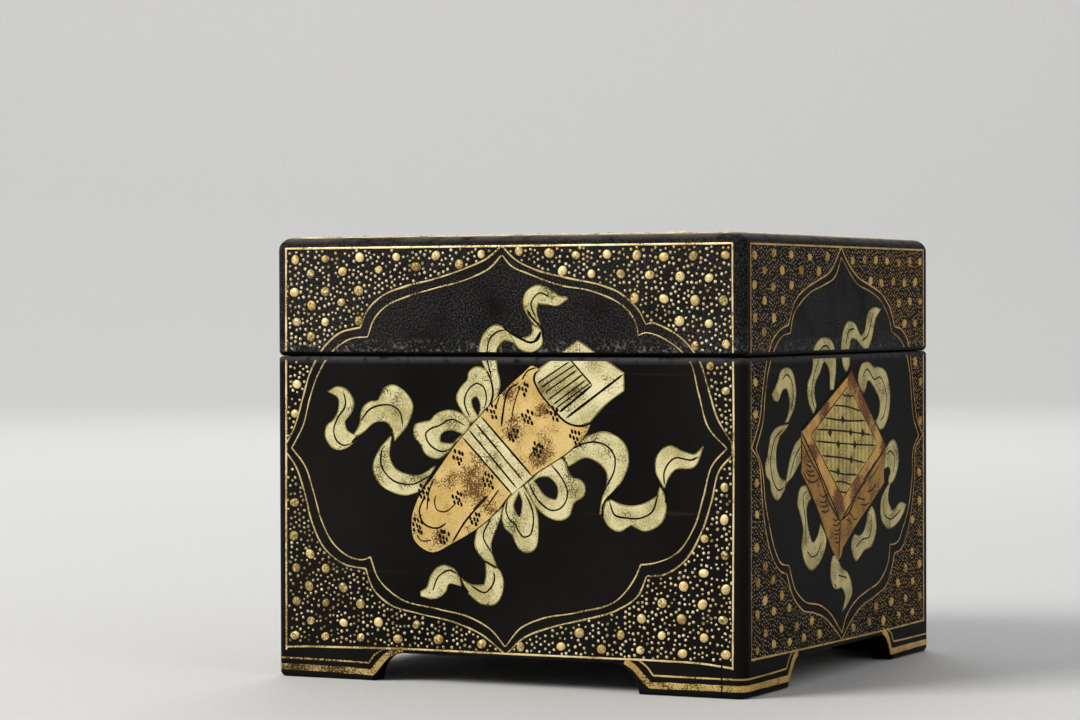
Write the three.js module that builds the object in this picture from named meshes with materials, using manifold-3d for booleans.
// Lacquer seal box: a square wooden box on bracket feet with a lift-off lid, flush all round.
// Millimetres, +Z up, the front face towards -Y, the origin on the ground under the middle of the box.
import * as THREE from 'three';
import { mergeVertices } from 'three/addons/utils/BufferGeometryUtils.js';
import Module from 'manifold-3d';

const wasm = await Module();
wasm.setup();

// Driving dimensions of the outside
const outerWidth = 120; // left to right, along X
const outerDepth = 120; // front to back, along Y
const caseHeight = 76.2; // ground to rim
const lidHeight = 27.9; // lower edge of the lid to its top
const seam = 0.3; // between the rim and the lid's lower edge
const cornerRadius = 2.8; // upright corners, seen from above
const rimRound = 0.8; // rim of the case and lower edge of the lid
const footRound = 1.2; // lower outer edge of the feet
const crownRise = 3; // height of the lid's round-over
const crownReach = 4; // how far the round-over comes in over the top
const archHalfWidth = 34.3; // half of the gap between two feet, at the ground
const archRise = 6.8; // height of that gap
const archRadius = 7; // curve from the foot up to the top of the gap

// Driving dimensions of the boards
const wallThickness = 5.2; // walls of the case and the lid
const lidTopThickness = 6;
const lidTongue = 2; // step of the lid's top board down between the lid's walls
const floorThickness = 4.4;
const floorRecess = 0.9; // the floor's underside above the top of the gaps between the feet
const grooveDepth = 2.2; // groove in the walls that holds the floor
const lipThickness = 2.4;
const lipHeight = 5; // lip boards above the rim
const lipChamfer = 0.7; // top outer edge of the lip boards

// Driving dimensions of the bamboo pins
const pinRadius = 0.9;
const pinReach = 9; // into the end of the front or back board
const pinCover = 0.9; // wood and lacquer over a pin's head
const casePinCount = 3; // to a corner of the case
const casePinMargin = 7; // from the lowest and highest pin to the floor and the rim

// Driving dimensions of the silk cushion
const cushionEdge = 5.2; // thickness along its sides
const cushionCrown = 2.6; // rise of its middle above its sides
const cushionBulge = 1.4; // how far its sides round in at the seam

// Clearances
const glueGap = 0.3; // between boards glued together
const pinGap = 0.3; // between a pin and its hole
const slideGap = 0.3; // between the lip boards and the lid's walls
const cushionGap = 0.4; // between the cushion and the lip boards
const mitreGap = 0.2; // off each end of a mitred board

// Facets
const cornerSteps = 4;
const edgeSteps = 3;
const archSteps = 6;
const pinSides = 8;
const sharpCorner = 0.4; // radius left where a round-over reaches in past a corner's centre

// Places that follow from the sizes above
const halfWidth = outerWidth / 2;
const halfDepth = outerDepth / 2;
const lidLow = caseHeight + seam;
const lidHigh = lidLow + lidHeight;
const lidTopLow = lidHigh - lidTopThickness;
const floorLow = archRise + floorRecess;
const floorHigh = floorLow + floorThickness;
const lipHigh = caseHeight + lipHeight;
const lipHalfX = halfWidth - wallThickness - slideGap; // outer faces of the lip boards
const lipHalfY = halfDepth - wallThickness - slideGap;

const lacquer = { color: 0x1b1a19, roughness: 0.38, metalness: 0 };
const innerLacquer = { color: 0x241310, roughness: 0.42, metalness: 0 };
const silk = { color: 0x7a2a22, roughness: 0.75, metalness: 0 };
const bamboo = { color: 0xb79a62, roughness: 0.7, metalness: 0 };

const sealBox = new THREE.Group();

function addPart(name, geometry, finish) {
  const mesh = new THREE.Mesh(geometry, new THREE.MeshStandardMaterial(finish));
  mesh.name = name;
  sealBox.add(mesh);
}

// Geometry to solid and back

function solidFrom(geometry) {
  geometry.deleteAttribute('normal');
  geometry.deleteAttribute('uv');
  const merged = mergeVertices(geometry);
  return new wasm.Manifold(new wasm.Mesh({
    numProp: 3,
    vertProperties: new Float32Array(merged.attributes.position.array),
    triVerts: new Uint32Array(merged.index.array),
  }));
}

function geometryFrom(solid) {
  const mesh = solid.getMesh();
  const geometry = new THREE.BufferGeometry();
  geometry.setAttribute('position', new THREE.BufferAttribute(mesh.vertProperties, 3));
  geometry.setIndex(new THREE.BufferAttribute(mesh.triVerts, 1));
  return geometry;
}

function boxSolid([lowX, lowY, lowZ], [highX, highY, highZ]) {
  const geometry = new THREE.BoxGeometry(highX - lowX, highY - lowY, highZ - lowZ);
  geometry.translate((lowX + highX) / 2, (lowY + highY) / 2, (lowZ + highZ) / 2);
  return solidFrom(geometry);
}

// A closed skin over rings of points, from low to high, each ring anticlockwise seen from above.
function ringStack(rings) {
  const count = rings[0].length;
  const index = [];
  for (let ring = 0; ring + 1 < rings.length; ring += 1) {
    for (let i = 0; i < count; i += 1) {
      const a = ring * count + i;
      const b = ring * count + ((i + 1) % count);
      index.push(a, b, b + count, a, b + count, a + count);
    }
  }
  const top = (rings.length - 1) * count;
  for (let i = 1; i + 1 < count; i += 1) {
    index.push(0, i + 1, i, top, top + i, top + i + 1);
  }
  const geometry = new THREE.BufferGeometry();
  geometry.setAttribute('position', new THREE.Float32BufferAttribute(rings.flat(2), 3));
  geometry.setIndex(index);
  return geometry;
}

function roundedRing(halfX, halfY, radius, z) {
  const ring = [];
  [[1, 1], [-1, 1], [-1, -1], [1, -1]].forEach(([sideX, sideY], quarter) => {
    for (let step = 0; step <= cornerSteps; step += 1) {
      const angle = (quarter + step / cornerSteps) * (Math.PI / 2);
      ring.push([
        sideX * (halfX - radius) + radius * Math.cos(angle),
        sideY * (halfY - radius) + radius * Math.sin(angle),
        z,
      ]);
    }
  });
  return ring;
}

// An upright block of the box's plan, with an elliptical round-over on its lower and upper edge.
function roundedBlock(low, high, lowRound, highRound) {
  const levels = [];
  for (let step = edgeSteps; step >= 0; step -= 1) {
    const angle = (step / edgeSteps) * (Math.PI / 2);
    levels.push([low + lowRound.rise * (1 - Math.sin(angle)), lowRound.reach * (1 - Math.cos(angle))]);
  }
  for (let step = 0; step <= edgeSteps; step += 1) {
    const angle = (step / edgeSteps) * (Math.PI / 2);
    levels.push([high - highRound.rise * (1 - Math.sin(angle)), highRound.reach * (1 - Math.cos(angle))]);
  }
  return solidFrom(ringStack(levels.map(([z, inset]) => roundedRing(
    halfWidth - inset,
    halfDepth - inset,
    Math.max(cornerRadius - inset, sharpCorner),
    z,
  ))));
}

// The gap between two feet, as a bar along Y that cuts the front and back walls.
function archSolid(length) {
  const outline = new THREE.Shape();
  const cornerX = archHalfWidth - archRadius;
  const cornerZ = archRise - archRadius;
  outline.moveTo(-archHalfWidth, Math.min(cornerZ, 0) - 1);
  outline.lineTo(archHalfWidth, Math.min(cornerZ, 0) - 1);
  outline.absarc(cornerX, cornerZ, archRadius, 0, Math.PI / 2, false);
  outline.absarc(-cornerX, cornerZ, archRadius, Math.PI / 2, Math.PI, false);
  const geometry = new THREE.ExtrudeGeometry(outline, {
    depth: length, bevelEnabled: false, curveSegments: archSteps,
  });
  geometry.translate(0, 0, -length / 2);
  geometry.rotateX(Math.PI / 2);
  return solidFrom(geometry);
}

// A bamboo pin, or its hole with a larger radius, lying along X.
function pinGeometry(radius, lowX, highX, y, z) {
  const geometry = new THREE.CylinderGeometry(radius, radius, highX - lowX, pinSides);
  geometry.rotateZ(Math.PI / 2);
  geometry.translate((lowX + highX) / 2, y, z);
  return geometry;
}

// The four upright corners, with the words that their pieces' names take.
const corners = [
  ['front', 'left', -1, -1], ['front', 'right', 1, -1],
  ['back', 'left', -1, 1], ['back', 'right', 1, 1],
];

// Pins through the lapped corners of one set of walls, and the holes that they sit in.
function cornerPins(prefix, heights) {
  const headX = halfWidth - pinCover;
  const tipX = halfWidth - wallThickness - pinReach;
  const holes = [];
  corners.forEach(([frontOrBack, side, signX, signY]) => {
    const y = signY * (halfDepth - wallThickness / 2);
    heights.forEach((z, row) => {
      const [low, high] = signX > 0 ? [tipX, headX] : [-headX, -tipX];
      const number = heights.length > 1 ? `_${row + 1}` : '';
      const name = `${prefix}_pin_${frontOrBack}_${side}${number}`;
      addPart(name, pinGeometry(pinRadius, low, high, y, z), bamboo);
      holes.push(solidFrom(pinGeometry(pinRadius + pinGap, low - pinGap, high + pinGap, y, z)));
    });
  });
  return holes;
}

// The four walls of the case or the lid, cut from one block. The side walls lap over the other two.
function addWalls(prefix, block, low, high, cuts) {
  const laps = halfWidth - wallThickness;
  const slabs = {
    front_wall: [[glueGap - laps, -halfDepth, low], [laps - glueGap, wallThickness - halfDepth, high]],
    back_wall: [[glueGap - laps, halfDepth - wallThickness, low], [laps - glueGap, halfDepth, high]],
    left_wall: [[-halfWidth, -halfDepth, low], [-laps, halfDepth, high]],
    right_wall: [[laps, -halfDepth, low], [halfWidth, halfDepth, high]],
  };
  Object.entries(slabs).forEach(([name, [slabLow, slabHigh]]) => {
    let board = block.intersect(boxSolid(slabLow, slabHigh));
    cuts.forEach((cut) => { board = board.subtract(cut); });
    addPart(`${prefix}_${name}`, geometryFrom(board), lacquer);
  });
}

// Case
const footEdge = { rise: footRound, reach: footRound };
const rimEdge = { rise: rimRound, reach: rimRound };
const crownEdge = { rise: crownRise, reach: crownReach };

const casePinLow = floorHigh + casePinMargin;
const casePinStep = (caseHeight - casePinMargin - casePinLow) / (casePinCount - 1);
const casePinHeights = Array.from({ length: casePinCount }, (_, row) => casePinLow + row * casePinStep);
const caseHoles = cornerPins('case', casePinHeights);

const floorX = halfWidth - wallThickness + grooveDepth;
const floorY = halfDepth - wallThickness + grooveDepth;
const groove = boxSolid([-floorX, -floorY, floorLow], [floorX, floorY, floorHigh + glueGap]);
const frontArch = archSolid(outerDepth + 2);
const sideArch = solidFrom(geometryFrom(archSolid(outerWidth + 2)).rotateZ(Math.PI / 2));

addWalls(
  'case', roundedBlock(0, caseHeight, footEdge, rimEdge), 0, caseHeight,
  [groove, frontArch, sideArch, ...caseHoles],
);

const floorHalfX = floorX - glueGap;
const floorHalfY = floorY - glueGap;
addPart('case_floor', geometryFrom(boxSolid(
  [-floorHalfX, -floorHalfY, floorLow],
  [floorHalfX, floorHalfY, floorHigh],
)), innerLacquer);

// Lip boards, mitred at the corners. This one stands along the front and is turned to the other sides.
function lipGeometry(halfLength, halfAcross, turns) {
  const ring = (inset, z) => {
    const outer = halfAcross - inset;
    const inner = halfAcross - lipThickness;
    const outerEnd = halfLength - inset - mitreGap;
    const innerEnd = halfLength - lipThickness - mitreGap;
    return [[-outerEnd, -outer, z], [outerEnd, -outer, z], [innerEnd, -inner, z], [-innerEnd, -inner, z]];
  };
  const geometry = ringStack([ring(0, floorHigh), ring(0, lipHigh - lipChamfer), ring(lipChamfer, lipHigh)]);
  geometry.rotateZ(turns * (Math.PI / 2));
  return geometry;
}

addPart('lip_board_front', lipGeometry(lipHalfX, lipHalfY, 0), innerLacquer);
addPart('lip_board_right', lipGeometry(lipHalfY, lipHalfX, 1), innerLacquer);
addPart('lip_board_back', lipGeometry(lipHalfX, lipHalfY, 2), innerLacquer);
addPart('lip_board_left', lipGeometry(lipHalfY, lipHalfX, 3), innerLacquer);

// Silk cushion: flat below, rounded at the sides, crowned on top.
const cushionHalfX = lipHalfX - lipThickness - cushionGap;
const cushionHalfY = lipHalfY - lipThickness - cushionGap;
const cushionRing = ([share, inset, lift]) => roundedRing(
  cushionHalfX - inset,
  cushionHalfY - inset,
  cushionEdge / 2,
  floorHigh + cushionEdge * share + lift,
);
addPart('seal_cushion', ringStack([
  [0, cushionBulge, 0],
  [0.3, cushionBulge / 4, 0],
  [0.5, 0, 0],
  [0.75, cushionBulge / 3, 0],
  [1, cushionBulge * 1.5, 0],
  [1, cushionHalfX * 0.14, cushionCrown * 0.45],
  [1, cushionHalfX * 0.32, cushionCrown * 0.82],
  [1, cushionHalfX * 0.6, cushionCrown],
].map(cushionRing)), silk);

// Lid
const lidBlock = roundedBlock(lidLow, lidHigh, rimEdge, crownEdge);
const lidHoles = cornerPins('lid', [(lidLow + lidTopLow) / 2]);
addWalls('lid', lidBlock, lidLow, lidTopLow, lidHoles);

const tongueX = halfWidth - wallThickness - glueGap;
const tongueY = halfDepth - wallThickness - glueGap;
const lidPanel = lidBlock.intersect(
  boxSolid([-halfWidth, -halfDepth, lidTopLow], [halfWidth, halfDepth, lidHigh]),
);
const tongue = boxSolid([-tongueX, -tongueY, lidTopLow - lidTongue], [tongueX, tongueY, lidTopLow + 1]);
addPart('lid_top', geometryFrom(lidPanel.add(tongue)), lacquer);

export default sealBox;
